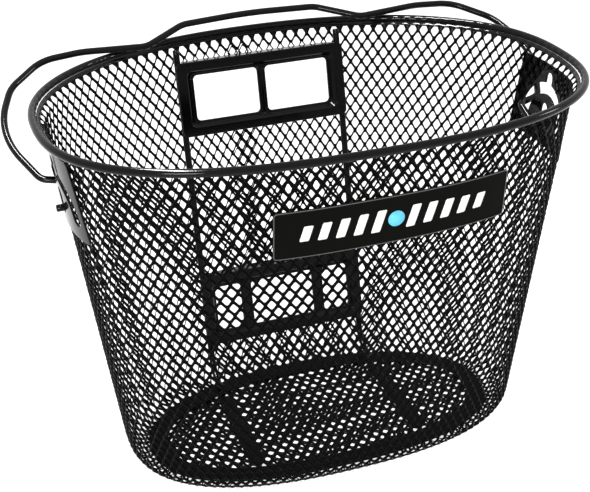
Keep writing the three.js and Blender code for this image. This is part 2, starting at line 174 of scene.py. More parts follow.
def plan_table(shares=49, steps=2400):
    """Plan points at even distances round the wall, for even shares of its height."""
    fine = np.linspace(0, 2 * np.pi, 20001)
    even = np.arange(steps) / steps
    table = np.zeros((shares, steps, 2))
    for k, share in enumerate(np.linspace(0, 1, shares)):
        points = outline_at(BASE_OUTLINE, fine) * (1 - share) + outline_at(TOP_OUTLINE, fine) * share
        run = np.append(0, np.cumsum(np.linalg.norm(np.diff(points, axis=0), axis=1)))
        angle = np.interp(even * run[-1], run, fine)
        table[k] = outline_at(BASE_OUTLINE, angle) * (1 - share) + outline_at(TOP_OUTLINE, angle) * share
    return table


PLAN = plan_table()
PLAN_OUT = outward_of(np.roll(PLAN, -1, axis=1) - np.roll(PLAN, 1, axis=1))


def look_up(table, turn, share):
    """A value of the plan table at a share of a turn and a share of the wall's height."""
    rows, steps = table.shape[:2]
    across = (turn % 1) * steps
    down = np.clip(share, 0, 1) * (rows - 1)
    i = np.floor(across).astype(int)
    k = np.minimum(np.floor(down).astype(int), rows - 2)
    u = (across - i)[..., None]
    v = (down - k)[..., None]
    i = i % steps
    j = (i + 1) % steps
    low = table[k, i] * (1 - u) + table[k, j] * u
    high = table[k + 1, i] * (1 - u) + table[k + 1, j] * u
    return low * (1 - v) + high * v


def solve_angle(value_at, wanted, low, high):
    """Halves the range until value_at(angle), which rises from low to high, meets what is wanted."""
    low = np.full(np.shape(wanted), float(low))
    high = np.full(np.shape(wanted), float(high))
    for _ in range(40):
        middle = (low + high) / 2
        below = value_at(middle) < wanted
        low = np.where(below, middle, low)
        high = np.where(below, high, middle)
    return low


def on_wall(angle, height, outward):
    """Points that far outside the wall's middle surface."""
    step = 1e-3
    along = wall_plan(angle + step, height) - wall_plan(angle - step, height)
    plan = wall_plan(angle, height) + outward_of(along) * np.asarray(outward)[..., None]
    return np.column_stack([plan, height])


def rear_y(x, height):
    """Y of the rear wall's middle surface."""
    x = np.asarray(x, float)
    height = np.broadcast_to(np.asarray(height, float), x.shape)
    angle = solve_angle(lambda a: -wall_plan(a, height)[..., 0], -x, 0, np.pi)
    return wall_plan(angle, height)[..., 1]


# ---- meshes ----
def add_piece(name, points, faces, node, material, body="basket"):
    """A piece of the object, from points in millimetres, which rides on its body."""
    mesh = bpy.data.meshes.new(name)
    mesh.from_pydata((np.asarray(points) * MM).tolist(), [], [list(face) for face in faces])
    mesh.validate()
    mesh.shade_smooth()
    piece = bpy.data.objects.new(name, mesh)
    bpy.context.scene.collection.objects.link(piece)
    mesh.materials.append(material)
    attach(piece, body)
    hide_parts(node)


def ring_faces(rings, sides, joined_ends=False):
    """Quads between rings of points that are stored one after another."""
    faces = []
    for i in range(rings if joined_ends else rings - 1):
        here = i * sides
        there = ((i + 1) % rings) * sides
        for j in range(sides):
            k = (j + 1) % sides
            faces.append((here + j, here + k, there + k, there + j))
    return faces


# Lattice coordinates count columns and rows. A diamond's boundary runs along its strands' crests, and
# its twelve points are whole tenths, so that neighbours share them.
TENTHS = 10
HALF_STEP = TENTHS // 2
SHOULDER = 0.55  # share of the way from a strand's crest to the hole's edge where it rounds off
SHOULDER_THICKNESS = 0.85  # as a share of the crest's
BOUNDARY = np.array([
    (5, 0), (4, 1), (1, 4), (0, 5), (-1, 4), (-4, 1),
    (-5, 0), (-4, -1), (-1, -4), (0, -5), (1, -4), (4, -1),
])


def hole_ring(column, row, strand):
    """A diamond hole with rounded corners, inset by half a strand, in lattice coordinates."""
    reach = column * row / (2 * math.hypot(column, row))
    scale = 0.5 * (1 - strand / reach)
    half = np.array([(0.93, 0), (0.86, 0.14), (0.25, 0.75), (0, 0.86), (-0.25, 0.75), (-0.86, 0.14)])
    return np.concatenate([half, -half]) * scale


def lattice(
    cells, place, column, row, wrap=None, low=-np.inf, high=np.inf, strand=STRAND_HALF, louvre=LOUVRE,
):
    """Points and faces of expanded mesh: one closed sheet with a hole in each cell.

    cells are diamond centres in tenths, and place(column, row, out) gives the point of the sheet.
    """
    corners = cells[:, None, :] + BOUNDARY
    if np.isfinite(high):
        # The first row is closed to its full width, so that plain sheet stands between its holes.
        first = cells[:, 1] == 0
        corners[first, 1] = cells[first] + (5, 3)
        corners[first, 5] = cells[first] + (-5, 3)
    keys = corners.copy()
    if wrap:
        keys[..., 0] %= wrap * TENTHS
    shared, index = np.unique(keys.reshape(-1, 2), axis=0, return_inverse=True)
    index = index.reshape(len(cells), len(BOUNDARY))
    shared = shared / TENTHS
    hole = cells[:, None, :] / TENTHS + hole_ring(column, row, strand)
    margin = strand / row
    shoulder = hole * SHOULDER + corners / TENTHS * (1 - SHOULDER)
    # Strands lean like louvres, and the lean eases off towards a hole's upper and lower tips.
    rise = 2 * (hole - cells[:, None, :] / TENTHS)[..., 1]
    tilt = louvre * rise * (1.6 - 0.6 * np.abs(rise))

    def put(at, out, inset=0.0):
        return place(at[..., 0], np.clip(at[..., 1], low + inset, high - inset), out)

    crest = np.full(len(shared), CREST)
    blocks = [
        put(shared, crest),
        put(shared, -crest),
        put(shoulder, tilt * SHOULDER + SHOULDER_THICKNESS * CREST, margin / 2),
        put(hole, tilt, margin),
        put(shoulder, tilt * SHOULDER - SHOULDER_THICKNESS * CREST, margin / 2),
    ]
    points = np.concatenate([block.reshape(-1, 3) for block in blocks])
    own = np.arange(index.size).reshape(index.shape)
    start = 2 * len(shared)
    rings = [
        index,
        start + own,
        start + own + index.size,
        start + own + 2 * index.size,
        index + len(shared),
    ]
    faces = []
    for outer, inner in zip(rings, rings[1:]):
        quads = [outer, np.roll(outer, -1, axis=1), np.roll(inner, -1, axis=1), inner]
        faces.append(np.stack(quads, -1).reshape(-1, 4))
    # The cut edge, which no neighbouring cell shares, is closed by a strip of faces.
    start_of = index.ravel()
    end_of = np.roll(index, -1, axis=1).ravel()
    forward = start_of * len(shared) + end_of
    backward = end_of * len(shared) + start_of
    border = ~np.isin(forward, backward)
    a = start_of[border]
    b = end_of[border]
    faces.append(np.stack([b, a, a + len(shared), b + len(shared)], -1))
    return points, np.concatenate(faces)


def fillet_path(corners, step=2.5):
    """Points along straight lines, with an arc at each inner corner of (x, y, radius)."""
    runs = []
    start = np.array(corners[0][:2], float)
    for before, corner, after in zip(corners, corners[1:], corners[2:]):
        at = np.array(corner[:2], float)
        back = np.array(before[:2]) - at
        ahead = np.array(after[:2]) - at
        back = back / np.linalg.norm(back)
        ahead = ahead / np.linalg.norm(ahead)
        half_angle = math.acos(np.clip(back @ ahead, -1, 1)) / 2
        reach = corner[2] / math.tan(half_angle)
        bend_start = at + back * reach
        bisector = (back + ahead) / np.linalg.norm(back + ahead)
        centre = at + bisector * corner[2] / math.sin(half_angle)
        spoke = bend_start - centre
        turn = (math.pi - 2 * half_angle) * np.sign(ahead[0] * back[1] - ahead[1] * back[0])
        runs.append(np.linspace(start, bend_start, max(2, int(np.linalg.norm(bend_start - start) / step))))
        turns = np.linspace(0, turn, max(5, int(abs(turn) * corner[2] / (step / 2))))
        arc = np.stack([
            centre[0] + spoke[0] * np.cos(turns) - spoke[1] * np.sin(turns),
            centre[1] + spoke[0] * np.sin(turns) + spoke[1] * np.cos(turns),
        ], -1)
        runs.append(arc[1:])
        start = arc[-1]
    end = np.array(corners[-1][:2], float)
    runs.append(np.linspace(start, end, max(2, int(np.linalg.norm(end - start) / step)))[1:])
    points = [runs[0][0]]
    for run in runs:
        for point in run:
            if np.linalg.norm(point - points[-1]) > 0.05:
                points.append(point)
    return np.array(points)


def rod_mesh(path, radius, sides=20, chamfer=0.5):
    """A round rod along a flat path, as points in the path's plane and beside it, with chamfered ends."""
    tangent = np.gradient(path, axis=0)
    tangent /= np.linalg.norm(tangent, axis=1, keepdims=True)
    first = path[0]
    last = path[-1]
    path = np.vstack([first, first + tangent[0] * chamfer, path[1:-1], last - tangent[-1] * chamfer, last])
    tangent = np.vstack([tangent[0], tangent[0], tangent[1:-1], tangent[-1], tangent[-1]])
    reach = np.full(len(path), radius)
    reach[[0, -1]] = radius - chamfer
    turn = np.arange(sides) * 2 * np.pi / sides
    normal = np.stack([-tangent[:, 1], tangent[:, 0]], -1)
    flat = path[:, None, :] + normal[:, None, :] * (np.cos(turn)[None, :, None] * reach[:, None, None])
    beside = np.sin(turn)[None, :] * reach[:, None]
    points = np.concatenate([flat, beside[..., None]], -1).reshape(-1, 3)
    faces = ring_faces(len(path), sides)
    faces.append(tuple(range(sides))[::-1])
    faces.append(tuple(range((len(path) - 1) * sides, len(path) * sides)))
    return points, faces


def rounded_rectangle(x, y, width, height, corner, steps=6):
    """An anticlockwise outline with round corners."""
    points = []
    for k, (side, end) in enumerate([(1, -1), (1, 1), (-1, 1), (-1, -1)]):
        centre = (x + side * (width / 2 - corner), y + end * (height / 2 - corner))
        for turn in np.linspace((k - 1) * math.pi / 2, k * math.pi / 2, steps + 1):
            points.append((centre[0] + corner * math.cos(turn), centre[1] + corner * math.sin(turn)))
    return points


def slab(loops, bottom, top):
    """A flat slab between two heights, from an outline and the outlines of its holes."""
    curve = bpy.data.curves.new("slab", "CURVE")
    curve.dimensions = "2D"
    curve.fill_mode = "BOTH"
    curve.extrude = (top - bottom) / 2
    for loop in loops:
        spline = curve.splines.new("POLY")
        spline.points.add(len(loop) - 1)
        for point, (x, y) in zip(spline.points, loop):
            point.co = (x, y, 0, 1)
        spline.use_cyclic_u = True
    holder = bpy.data.objects.new("slab", curve)
    mesh = bpy.data.meshes.new_from_object(holder)
    mesh.transform(Matrix.Translation((0, 0, (top + bottom) / 2)))
    bpy.data.objects.remove(holder)
    bpy.data.curves.remove(curve)
    return mesh


def mesh_of(points, faces):
    mesh = bpy.data.meshes.new("part")
    mesh.from_pydata([tuple(point) for point in points], [], faces)
    return mesh


def melt(parts, voxel, rounds):
    """One watertight skin round overlapping solids, with softly rounded edges, as points and faces."""
    points = []
    faces = []
    for mesh in parts:
        first = len(points)
        points += [tuple(vertex.co) for vertex in mesh.vertices]
        faces += [tuple(first + i for i in polygon.vertices) for polygon in mesh.polygons]
        bpy.data.meshes.remove(mesh)
    whole = mesh_of(points, faces)
    holder = bpy.data.objects.new("melt", whole)
    bpy.context.scene.collection.objects.link(holder)
    remesh = holder.modifiers.new("remesh", "REMESH")
    remesh.mode = "VOXEL"
    remesh.voxel_size = voxel
    soften = holder.modifiers.new("soften", "SMOOTH")
    soften.factor = 0.5
    soften.iterations = rounds
    graph = bpy.context.evaluated_depsgraph_get()
    skin = bpy.data.meshes.new_from_object(holder.evaluated_get(graph))
    flat = np.zeros(len(skin.vertices) * 3)
    skin.vertices.foreach_get("co", flat)
    corners = [tuple(polygon.vertices) for polygon in skin.polygons]
    bpy.data.objects.remove(holder)
    bpy.data.meshes.remove(whole)
    bpy.data.meshes.remove(skin)
    return flat.reshape(-1, 3), corners


# ---- materials ----
def principled(name, color, roughness, specular=0.5):
    material = bpy.data.materials.new(name)
    material.use_nodes = True
    shader = material.node_tree.nodes["Principled BSDF"]
    shader.inputs["Specular IOR Level"].default_value = specular
    shader.inputs["Base Color"].default_value = (*color, 1)
    shader.inputs["Roughness"].default_value = roughness
    return material, shader


def noise(material, scale, detail=3.0):
    """Noise over the object's own space. The scale is in cells for each metre."""
    nodes = material.node_tree.nodes
    links = material.node_tree.links
    space = nodes.new("ShaderNodeTexCoord")
    texture = nodes.new("ShaderNodeTexNoise")
    texture.inputs["Scale"].default_value = scale
    texture.inputs["Detail"].default_value = detail
    links.new(space.outputs["Object"], texture.inputs["Vector"])
    return texture.outputs["Fac"]


def ramp(material, value, low, high, dark, light):
    """Two colours or greys, blended as the value goes from low to high."""
    node = material.node_tree.nodes.new("ShaderNodeValToRGB")
    node.color_ramp.elements[0].position = low
    node.color_ramp.elements[1].position = high
    node.color_ramp.elements[0].color = (*dark, 1)
    node.color_ramp.elements[1].color = (*light, 1)
    material.node_tree.links.new(value, node.inputs["Fac"])
    return node.outputs["Color"]


def bump(material, shader, height, distance, strength=1.0):
    node = material.node_tree.nodes.new("ShaderNodeBump")
    node.inputs["Distance"].default_value = distance
    node.inputs["Strength"].default_value = strength
    material.node_tree.links.new(height, node.inputs["Height"])
    material.node_tree.links.new(node.outputs["Normal"], shader.inputs["Normal"])


def coated_black(name, color, worn, roughness, peel, grain, specular):
    """Powder-coated steel: near black, with orange peel, patchy gloss and faint wear."""
    material, shader = principled(name, color, roughness[0], specular)
    links = material.node_tree.links
    patches = noise(material, 140)  # about 7 mm across
    grey = ramp(material, patches, 0.35, 0.7, (roughness[0],) * 3, (roughness[1],) * 3)
    links.new(grey, shader.inputs["Roughness"])
    scuffs = noise(material, 900, 6)  # about 1 mm across
    links.new(ramp(material, scuffs, 0.62, 0.8, color, worn), shader.inputs["Base Color"])
    bump(material, shader, noise(material, grain, 2), peel)
    return material


gloss_black = coated_black(
    "gloss_black", (0.001, 0.001, 0.0011), (0.005, 0.005, 0.0054), (0.08, 0.14), 0.00002, 700, 0.15,
)
mesh_black = coated_black(
    "mesh_black", (0.001, 0.001, 0.0011), (0.004, 0.004, 0.0043), (0.28, 0.4), 0.00003, 1500, 0.03,
)
label_black = coated_black(
    "label_black", (0.003, 0.003, 0.0027), (0.006, 0.006, 0.0055), (0.38, 0.5), 0.00001, 2500, 0.02,
)


def printed(name, color):
    """Screen-printed ink with a faint grain."""
    material, shader = principled(name, color, 0.45)
    duller = tuple(0.9 * part for part in color)
    links = material.node_tree.links
    links.new(ramp(material, noise(material, 1200), 0.3, 0.7, duller, color), shader.inputs["Base Color"])
    bump(material, shader, noise(material, 3000), 0.00001)
    return material


print_white = printed("print_white", (0.86, 0.86, 0.85))
print_blue = printed("print_blue", (0.10, 0.52, 0.74))
print_grey = printed("print_grey", (0.06, 0.06, 0.055))


# ---- wall mesh ----
TURN_START = FIRST_ROW - TURN_RADIUS - HALF  # distance down the wall where it starts to turn in
ROW = (TURN_START + TURN_RADIUS * math.pi / 2) / ROWS_DOWN


def place_on_wall(column, row, out):
    """A point of the wall's sheet. Rows count upwards from the top row's centres."""
    down = -row * ROW
    turn = np.clip((down - TURN_START) / TURN_RADIUS, 0, math.pi / 2)
    height = np.where(turn > 0, TURN_RADIUS + HALF - TURN_RADIUS * np.sin(turn), FIRST_ROW - down)
    lean = STRIP_FLARE * np.clip((height - WALL_TOP) / (STRIP_TOP - WALL_TOP), 0, None)
    outward = TURN_RADIUS * (np.cos(turn) - 1) + lean + out * np.cos(turn)
    around = (column + COLUMN_PHASE) / COLUMNS
    share = wall_share(height)
    plan = look_up(PLAN, around, share) + look_up(PLAN_OUT, around, share) * outward[..., None]
    return np.concatenate([plan, (height - out * np.sin(turn))[..., None]], -1)


def slot_centre(side):
    return (
        HINGE_Y + side * HINGE_END * math.tan(HINGE_YAW),
        HINGE_Z - side * HINGE_END * math.tan(HINGE_ROLL) + SLOT_RISE,
    )


# How far the holes cut in the wall reach past the windows and slots in front of them.
WINDOW_CUT_ABOVE = 5
WINDOW_CUT_BELOW = 11
WINDOW_CUT_BESIDE = 2
SLOT_CUT = 3
NOTCH_CUT = 7
END_START = 100  # x past which the wall belongs to an end


def in_cutout(points):
    """Whether diamonds centred at these points lie in a hole of the wall: behind windows and slots."""
    x, y, z = points.T
    cut = np.zeros(len(points), bool)
    for panel in (UPPER_PANEL, LOWER_PANEL):
        top = panel["middle"] + panel["tray_middle"] + panel["window_height"] / 2 + WINDOW_CUT_ABOVE
        bottom = top - panel["window_height"] - WINDOW_CUT_ABOVE - WINDOW_CUT_BELOW
        wide = PANEL_LENGTH / 2 - TRAY_MARGIN + WINDOW_CUT_BESIDE
        cut |= (y > 0) & (np.abs(x) < wide) & (z > bottom) & (z < top)
    for side in (-1, 1):
        centre_y, centre_z = slot_centre(side)
        at_end = side * x > END_START
        near = np.hypot(y - centre_y, z - centre_z) < CUTOUT_RADIUS + SLOT_CUT
        cut |= at_end & near & (z > centre_z - CUTOUT_FOOT - SLOT_CUT)
        notch_top = centre_z + SLOT_RADIUS + NOTCH_RISE + NOTCH_CUT
        notch = (np.abs(y - centre_y) < NOTCH_CUT) & (z > centre_z) & (z < notch_top)
        cut |= at_end & notch
    return cut


def wall_cells():
    """Every diamond's centre, in tenths: whole rows on whole columns, half rows on half columns."""
    cells = []
    for half_row in range(int(2 * ROWS_DOWN) + 1):
        shift = half_row % 2 * HALF_STEP
        for column in range(COLUMNS):
            cells.append((column * TENTHS + shift, -half_row * HALF_STEP))
    cells = np.array(cells)
    centres = place_on_wall(cells[:, 0] / TENTHS, cells[:, 1] / TENTHS, np.zeros(len(cells)))
    return cells[~in_cutout(centres)]


mid_height = PLAN[len(PLAN) // 2]
wall_column = np.linalg.norm(np.diff(mid_height, axis=0), axis=1).sum() / COLUMNS
cells = wall_cells()
quarters = ["right_rear", "left_rear", "left_front", "right_front"]
quarter_of = (cells[:, 0] % (COLUMNS * TENTHS)) * len(quarters) // (COLUMNS * TENTHS)
for k, quarter in enumerate(quarters):
    points, faces = lattice(
        cells[quarter_of == k], place_on_wall, wall_column, ROW, COLUMNS, -ROWS_DOWN, TOP_LIMIT,
    )
    add_piece(f"wall_mesh_{quarter}", points, faces.tolist(), "wall_mesh", mesh_black)


# The sheet's two ends lap at the rear: a second layer, two diamonds wide and out of step with the first.
SEAM_COLUMNS = (29, 30)
SEAM_HALF_ROWS = range(2, 40)
SEAM_SHIFT = (0.4, 0.3)  # columns and rows
SEAM_OUT = 1.1


def place_on_seam(column, row, out):
    return place_on_wall(column + SEAM_SHIFT[0], row + SEAM_SHIFT[1], out + SEAM_OUT)


seam_cells = np.array([
    (TENTHS * column + half_row % 2 * HALF_STEP, -HALF_STEP * half_row)
    for half_row in SEAM_HALF_ROWS for column in SEAM_COLUMNS
])
seam_column, seam_row = seam_cells.T / TENTHS
seam_centres = place_on_seam(seam_column, seam_row, np.zeros(len(seam_cells)))
points, faces = lattice(seam_cells[~in_cutout(seam_centres)], place_on_seam, wall_column, ROW)
add_piece("wall_mesh_lap", points, faces.tolist(), "wall_mesh", mesh_black)


# ---- floor mesh ----
def inside_floor(points):
    """Whether plan points lie inside the floor's outline."""
    steps = 720
    angle = np.arange(steps) * 2 * np.pi / steps
    edge = on_wall(angle, np.zeros(steps), np.full(steps, -TURN_RADIUS - GAP))[:, :2]
    ahead = np.roll(edge, -1, axis=0)
    offset = points[:, None, :] - edge[None]
    side = ahead - edge
    cross = side[None, :, 0] * offset[..., 1] - side[None, :, 1] * offset[..., 0]
    return (cross > 0).all(axis=1)


def place_on_floor(column, row, out):
    flat = np.stack([column * FLOOR_COLUMN, row * FLOOR_ROW], -1)
    return np.concatenate([flat, (HALF + out)[..., None]], -1)


FLOOR_COLUMNS = range(-18, 19)
FLOOR_HALF_ROWS = range(-14, 15)
floor_cells = np.array([
    (TENTHS * column + half_row % 2 * HALF_STEP, HALF_STEP * half_row)
    for half_row in FLOOR_HALF_ROWS for column in FLOOR_COLUMNS
])
tips = floor_cells[:, None, :] / TENTHS + np.array([(0.5, 0), (0, 0.5), (-0.5, 0), (0, -0.5)])
tips = tips * (FLOOR_COLUMN, FLOOR_ROW)
whole = inside_floor(tips.reshape(-1, 2)).reshape(len(floor_cells), 4).all(axis=1)
points, faces = lattice(
    floor_cells[whole], place_on_floor, FLOOR_COLUMN, FLOOR_ROW,
    strand=FLOOR_STRAND_HALF, louvre=FLOOR_LOUVRE,
)
add_piece("floor_mesh_sheet", points, faces.tolist(), "floor_mesh", mesh_black)


# ---- bands that run round the basket ----
BAND_STEPS = COLUMNS * 6


def oval_band(profile_at):
    """A closed band all round. profile_at(column) gives its profile as (height, outward) corners."""
    columns = np.arange(BAND_STEPS) * COLUMNS / BAND_STEPS
    profiles = np.array([profile_at(column) for column in columns])
    around = ((columns + COLUMN_PHASE) / COLUMNS)[:, None].repeat(profiles.shape[1], axis=1)
    share = wall_share(profiles[..., 0])
    plan = look_up(PLAN, around, share) + look_up(PLAN_OUT, around, share) * profiles[..., 1:]
    points = np.concatenate([plan, profiles[..., :1]], -1).reshape(-1, 3)
    faces = ring_faces(BAND_STEPS, profiles.shape[1], joined_ends=True)
    return points, faces


def thick_line(line, thickness):
    """A closed profile round a line of (height, outward) points, with half-round edges."""
    line = np.array(line, float)
    along = np.gradient(line, axis=0)
    along /= np.linalg.norm(along, axis=1, keepdims=True)
    across = np.stack([-along[:, 1], along[:, 0]], -1) * thickness / 2
    tips = along[[0, -1]] * thickness / 4
    one = line + across
    two = line - across
    return np.concatenate([[line[0] - tips[0]], one, [line[-1] + tips[1]], two[::-1]])


HEM_CRIMP = 0.22
HEM_THICKNESS = 1.0


def hem_profile(column):
    """The mesh's folded edge, which leans out to the rim and is crimped once for each diamond."""
    crimp = HEM_CRIMP * math.cos(2 * math.pi * column)
    line = [(249.2, 2.0), (249.9, 2.4 + crimp), (250.5, 3.0 + crimp), (251.0, 3.7)]
    return thick_line(line, HEM_THICKNESS)


points, faces = oval_band(hem_profile)
add_piece("mesh_edge_hem", points, faces, "mesh_edge_strip", gloss_black)

RIM_SIDES = 24
RIM_CRIMP = 0.3
RIM_CRIMP_TURN = math.radians(165)  # from straight outwards, over the top


def rim_profile(column):
    """The rim's section: round, with shallow crimps inside, where the mesh wraps round it."""
    profile = []
    for k in range(RIM_SIDES):
        turn = 2 * math.pi * k / RIM_SIDES
        wrapped = max(0.0, math.cos(turn - RIM_CRIMP_TURN)) ** 2
        radius = RIM_RADIUS - RIM_CRIMP * wrapped * (0.5 + 0.5 * math.cos(2 * math.pi * column))
        profile.append((RIM_HEIGHT + radius * math.sin(turn), radius * math.cos(turn)))
    return profile


def rim_band():
    """The rim follows its own outline, outside the wall's."""
    fine = np.linspace(0, 2 * np.pi, 20001)
    outline = outline_at(RIM_OUTLINE, fine)
    run = np.append(0, np.cumsum(np.linalg.norm(np.diff(outline, axis=0), axis=1)))
    columns = np.arange(BAND_STEPS) * COLUMNS / BAND_STEPS
    angle = np.interp((columns + COLUMN_PHASE) / COLUMNS * run[-1] % run[-1], run, fine)
    middle = outline_at(RIM_OUTLINE, angle)
    outward = outward_of(np.roll(middle, -1, axis=0) - np.roll(middle, 1, axis=0))
    points = []
    for k, column in enumerate(columns):
        for height, reach in rim_profile(column):
            points.append((*(middle[k] + outward[k] * reach), height))
    return points, ring_faces(BAND_STEPS, RIM_SIDES, joined_ends=True)


points, faces = rim_band()
add_piece("rim_hoop_tube", points, faces, "rim_hoop", gloss_black)


def flat_band_profile(box, inner, outer, edge=0.35):
    """A flat strip lying on the floor, with eased edges."""
    low = box[0].z / MM
    high = box[1].z / MM
    middle = (low + high) / 2
    return [
        (low, inner + edge), (middle, inner), (high, inner + edge), (high, inner + 2 * edge),
        (high, outer - 2 * edge), (high, outer - edge), (middle, outer), (low, outer - edge),
    ]


ring_profile = flat_band_profile(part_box("floor_ring"), RING_INNER, RING_OUTER)
points, faces = oval_band(lambda column: ring_profile)
add_piece("floor_ring_band", points, faces, "floor_ring", mesh_black)

STRAP_CORNER = 1.5
for side in ("left", "right"):
    low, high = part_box(f"floor_strap_{side}")
    middle = (low + high) / 2 / MM
    size = (high - low) / MM
    outline = rounded_rectangle(0, 0, size.x, size.y, STRAP_CORNER)
    points, faces = melt([slab([outline], -size.z / 2, size.z / 2)], voxel=0.3, rounds=3)
    points = points + np.array(middle)
    add_piece(f"floor_strap_{side}_bar", points, faces, f"floor_strap_{side}", mesh_black)


# ---- rods ----
def rear_rod(side, name):
    """Runs down the inside of the rear wall, follows its turn and lies over the floor ring."""
    inset = HALF + GAP + ROD_RADIUS + ROD_CLEARANCE
    low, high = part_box(name)
    foot = low.z / MM + ROD_RADIUS
    top = rear_y(np.array([ROD_SPACING]), ROD_TOP)[0] - inset
    bottom = rear_y(np.array([ROD_SPACING]), TURN_RADIUS)[0] - inset
    slope = (top - bottom) / (ROD_TOP - TURN_RADIUS)
    corner = top - slope * (ROD_TOP - foot)
    path = fillet_path([(top, ROD_TOP, 0), (corner, foot, TURN_RADIUS), (low.y / MM, foot, 0)])
    points, faces = rod_mesh(path, ROD_RADIUS)
    points = np.column_stack([points[:, 2] + side * ROD_SPACING, points[:, 0], points[:, 1]])
    add_piece(f"{name}_bar", points, faces, name, gloss_black)


rear_rod(-1, "rear_rod_left")
rear_rod(1, "rear_rod_right")

corners = [(-x, y, r) for x, y, r in HANDLE_HALF] + HANDLE_HALF[-2::-1]
points, faces = rod_mesh(fillet_path(corners), ROD_RADIUS, sides=24)
hinge = (
    Matrix.Translation((0, HINGE_Y, HINGE_Z))
    @ Matrix.Rotation(HINGE_ROLL, 4, "Y") @ Matrix.Rotation(HINGE_YAW, 4, "Z")
    @ Matrix.Rotation(FOLD_TILT, 4, "X")
)
turned = np.array(hinge)
points = points @ turned[:3, :3].T + turned[:3, 3]
add_piece("carry_handle_rod", points, faces, "carry_handle", gloss_black, body="handle")


# ---- rear panels ----
def panel_parts(panel):
    """A pan, the tray sunk in its face, and the tray's windows with their lips. z runs to the rear."""
    height = panel["height"]
    middle = panel["tray_middle"]
    tray_length = PANEL_LENGTH - 2 * TRAY_MARGIN
    tray_height = panel["tray_height"]
    tray = rounded_rectangle(0, middle, tray_length, tray_height, PANEL_CORNER)
    face = rounded_rectangle(0, 0, PANEL_LENGTH, height, PANEL_CORNER)
    parts = [slab([face, tray], 0, PANEL_SHEET)]
    flange_length = 2 * (ROD_SPACING - ROD_RADIUS - FLANGE_CLEARANCE)
    for end in (-1, 1):
        y = end * (height - PANEL_SHEET) / 2
        flange = rounded_rectangle(0, y, flange_length, PANEL_SHEET, PANEL_SHEET / 3)
        parts.append(slab([flange], 0, FLANGE_BACK))
    rings = []
    steps = [
        (0, 0), (TRAY_SLOPE, TRAY_DEPTH), (TRAY_SLOPE, TRAY_DEPTH + PANEL_SHEET),
        (TRAY_SLOPE - PANEL_SHEET, TRAY_DEPTH + PANEL_SHEET),
        (-PANEL_SHEET, PANEL_SHEET), (-PANEL_SHEET, 0),
    ]
    for inset, depth in steps:
        loop = rounded_rectangle(
            0, middle, tray_length - 2 * inset, tray_height - 2 * inset, PANEL_CORNER - inset / 2,
        )
        rings += [(x, y, depth) for x, y in loop]
    sides = len(rings) // len(steps)
    parts.append(mesh_of(rings, ring_faces(len(steps), sides, joined_ends=True)))
    floor = rounded_rectangle(
        0, middle, tray_length - 2 * TRAY_SLOPE + 1, tray_height - 2 * TRAY_SLOPE + 1, PANEL_CORNER / 2,
    )
    windows = [
        rounded_rectangle(x, middle, width, panel["window_height"], WINDOW_CORNER)
        for x, width in panel["windows"]
    ]
    parts.append(slab([floor, *windows], TRAY_DEPTH, TRAY_DEPTH + PANEL_SHEET))
    for (x, width), window in zip(panel["windows"], windows):
        lip = rounded_rectangle(
            x, middle, width + 2 * WINDOW_LIP, panel["window_height"] + 2 * WINDOW_LIP,
            WINDOW_CORNER + WINDOW_LIP,
        )
        parts.append(slab([lip, window], TRAY_DEPTH - LIP_STAND, TRAY_DEPTH + PANEL_SHEET / 2))
    return parts


def rear_panel(name, panel):
    edge = PANEL_LENGTH / 2
    middle = panel["middle"]
    rise = np.array([-0.5, 0.5]) * panel["height"]
    low, high = rear_y(np.array([edge, edge]), middle + rise)
    lean = math.atan2(high - low, panel["height"])
    stand = HALF + GAP + 2 * ROD_RADIUS + GAP + PANEL_SHEET + PANEL_CLEARANCE
    origin = np.array([0, (low + high) / 2 - stand / math.cos(lean), middle])
    up = np.array([0, math.sin(lean), math.cos(lean)])
    rearwards = np.array([0, math.cos(lean), -math.sin(lean)])
    points, faces = melt(panel_parts(panel), voxel=0.4, rounds=4)
    # The flanges reach back to the wall, which bows away from the flat pan towards its middle.
    plane = origin + points[:, 1:2] * up
    wall_y = rear_y(np.clip(points[:, 0], -edge, edge), plane[:, 2]) - HALF - GAP
    reach = (wall_y - plane[:, 1]) * math.cos(lean)
    past_bend = points[:, 2] - FLANGE_BEND
    stretch = (reach - FLANGE_BEND) / (FLANGE_BACK - FLANGE_BEND)
    depth = np.where(past_bend > 0, FLANGE_BEND + past_bend * stretch, points[:, 2])
    points = plane + points[:, :1] * np.array([1, 0, 0]) + depth[:, None] * rearwards
    add_piece(f"{name}_pressing", points, faces, name, gloss_black)


rear_panel("upper_rear_panel", UPPER_PANEL)
rear_panel("lower_rear_panel", LOWER_PANEL)


# ---- end plates ----
def arc_points(y, z, radius, start, end, steps):
    turns = np.radians(np.linspace(start, end, steps + 1))
    return [(y + radius * math.cos(turn), z + radius * math.sin(turn)) for turn in turns]


def arc_slot(y, z):
    """The half-circle slot with a notch at its crown, as one anticlockwise outline."""
    half = SLOT_WIDTH / 2
    outer = SLOT_RADIUS + half
    meet = math.degrees(math.acos(half / outer))
    start = 3  # degrees past the round ends
    return (
        arc_points(y + SLOT_RADIUS, z, half, -180, 0, 12)
        + arc_points(y, z, outer, start, meet, 24)
        + arc_points(y, z + SLOT_RADIUS + NOTCH_RISE, half, 0, 180, 12)
        + arc_points(y, z, outer, 180 - meet, 180 - start, 24)
        + arc_points(y - SLOT_RADIUS, z, half, 180, 360, 12)
        + arc_points(y, z, SLOT_RADIUS - half, 180 - start, start, 40)
    )


